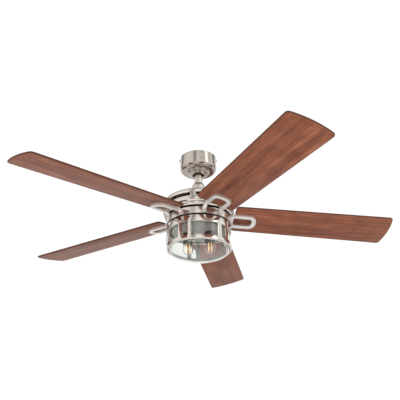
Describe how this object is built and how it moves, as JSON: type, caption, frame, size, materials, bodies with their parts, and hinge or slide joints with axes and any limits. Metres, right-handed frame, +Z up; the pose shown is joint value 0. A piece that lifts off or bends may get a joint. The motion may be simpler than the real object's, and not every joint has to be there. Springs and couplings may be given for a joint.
{
  "type": "ceiling fan with light",
  "caption": "Blades on a spinning flywheel under a domed motor housing, hung by a ball-ended rod, with a clear glass shade in a metal cage below.",
  "frame": {"origin": "centre of the hanger bracket's face that meets the ceiling", "axes": "+Z points up into the ceiling, X runs along the hanger bracket through its two slots, Y is across it"},
  "size_m": [1.2575, 1.2728, 0.3678],
  "materials": {
    "brushed_nickel": "satin brushed nickel plate",
    "polished_nickel": "polished warm nickel plate",
    "walnut_veneer": "satin walnut veneer with a dark edge",
    "black_resin": "moulded phenolic resin",
    "black_plastic": "moulded case",
    "black_rubber": "soft rubber ring",
    "copper_wire": "enamelled copper wire",
    "electrical_steel": "stacked laminations",
    "cast_aluminium": "die cast, as machined",
    "cap_brass": "threaded bulb cap",
    "bulb_glass": "thin clear bulb glass",
    "filament": "amber filament rods on a stem",
    "clear_glass": "clear pressed glass",
    "white_enamel": "light enamel",
    "plated_steel": "zinc plated steel"
  },
  "bodies": {
    "ceiling_mount": {"hanger_bracket": "plated_steel", "canopy": "brushed_nickel", "canopy_ring": "brushed_nickel", "canopy_screws": "plated_steel", "receiver": "black_plastic"},
    "motor_body": {"hanger_ball": "black_resin", "ball_pin": "plated_steel", "ball_set_screw": "plated_steel", "downrod": "brushed_nickel", "motor_coupling": "plated_steel", "clevis_pin": "plated_steel", "cotter_pin": "plated_steel", "coupling_screws": "plated_steel", "yoke_cover": "brushed_nickel", "cover_grommet": "black_rubber", "top_cover": "polished_nickel", "motor_housing": "polished_nickel", "motor_shaft": "plated_steel", "stator_core": "electrical_steel", "stator_windings": "copper_wire", "light_fitter": "polished_nickel", "fitter_nut": "plated_steel", "capacitor": "black_plastic", "socket_pan": "white_enamel", "bulb_socket_1": "black_resin", "bulb_socket_2": "black_resin"},
    "rotor": {"rotor_housing": "cast_aluminium", "rotor_core": "electrical_steel", "upper_bearing": "plated_steel", "lower_bearing": "plated_steel", "flywheel": "polished_nickel", "blade_bracket_1": "polished_nickel", "blade_bracket_2": "polished_nickel", "blade_bracket_3": "polished_nickel", "blade_bracket_4": "polished_nickel", "blade_bracket_5": "polished_nickel", "blade_1": "walnut_veneer", "blade_2": "walnut_veneer", "blade_3": "walnut_veneer", "blade_4": "walnut_veneer", "blade_5": "walnut_veneer", "blade_screws": "plated_steel", "bracket_screws": "plated_steel"},
    "shade": {"shade_cage": "polished_nickel", "glass_shade": "clear_glass"},
    "bulb_1": {"bulb_base_1": "cap_brass", "bulb_glass_1": "bulb_glass", "bulb_filament_1": "filament"},
    "bulb_2": {"bulb_base_2": "cap_brass", "bulb_glass_2": "bulb_glass", "bulb_filament_2": "filament"}
  },
  "joints": [
    {"name": "ball_swing", "type": "hinge", "parent": "ceiling_mount", "child": "motor_body", "pos_m": [0, 0, -0.035], "axis": [1, 0, 0], "range_deg": [-10, 10]},
    {"name": "blade_spin", "type": "hinge", "parent": "motor_body", "child": "rotor", "pos_m": [0, 0, -0.221], "axis": [0, 0, 1], "continuous": true},
    {"name": "shade_twist", "type": "hinge", "parent": "motor_body", "child": "shade", "pos_m": [0, 0, -0.271], "axis": [0, 0, 1], "range_deg": [0, 35]},
    {"name": "bulb_1_turn", "type": "hinge", "parent": "motor_body", "child": "bulb_1", "pos_m": [-0.03565, 0.00501, -0.321], "axis": [0, 0, 1], "range_deg": [0, 1080]},
    {"name": "bulb_2_turn", "type": "hinge", "parent": "motor_body", "child": "bulb_2", "pos_m": [0.03565, -0.00501, -0.321], "axis": [0, 0, 1], "range_deg": [0, 1080]}
  ]
}
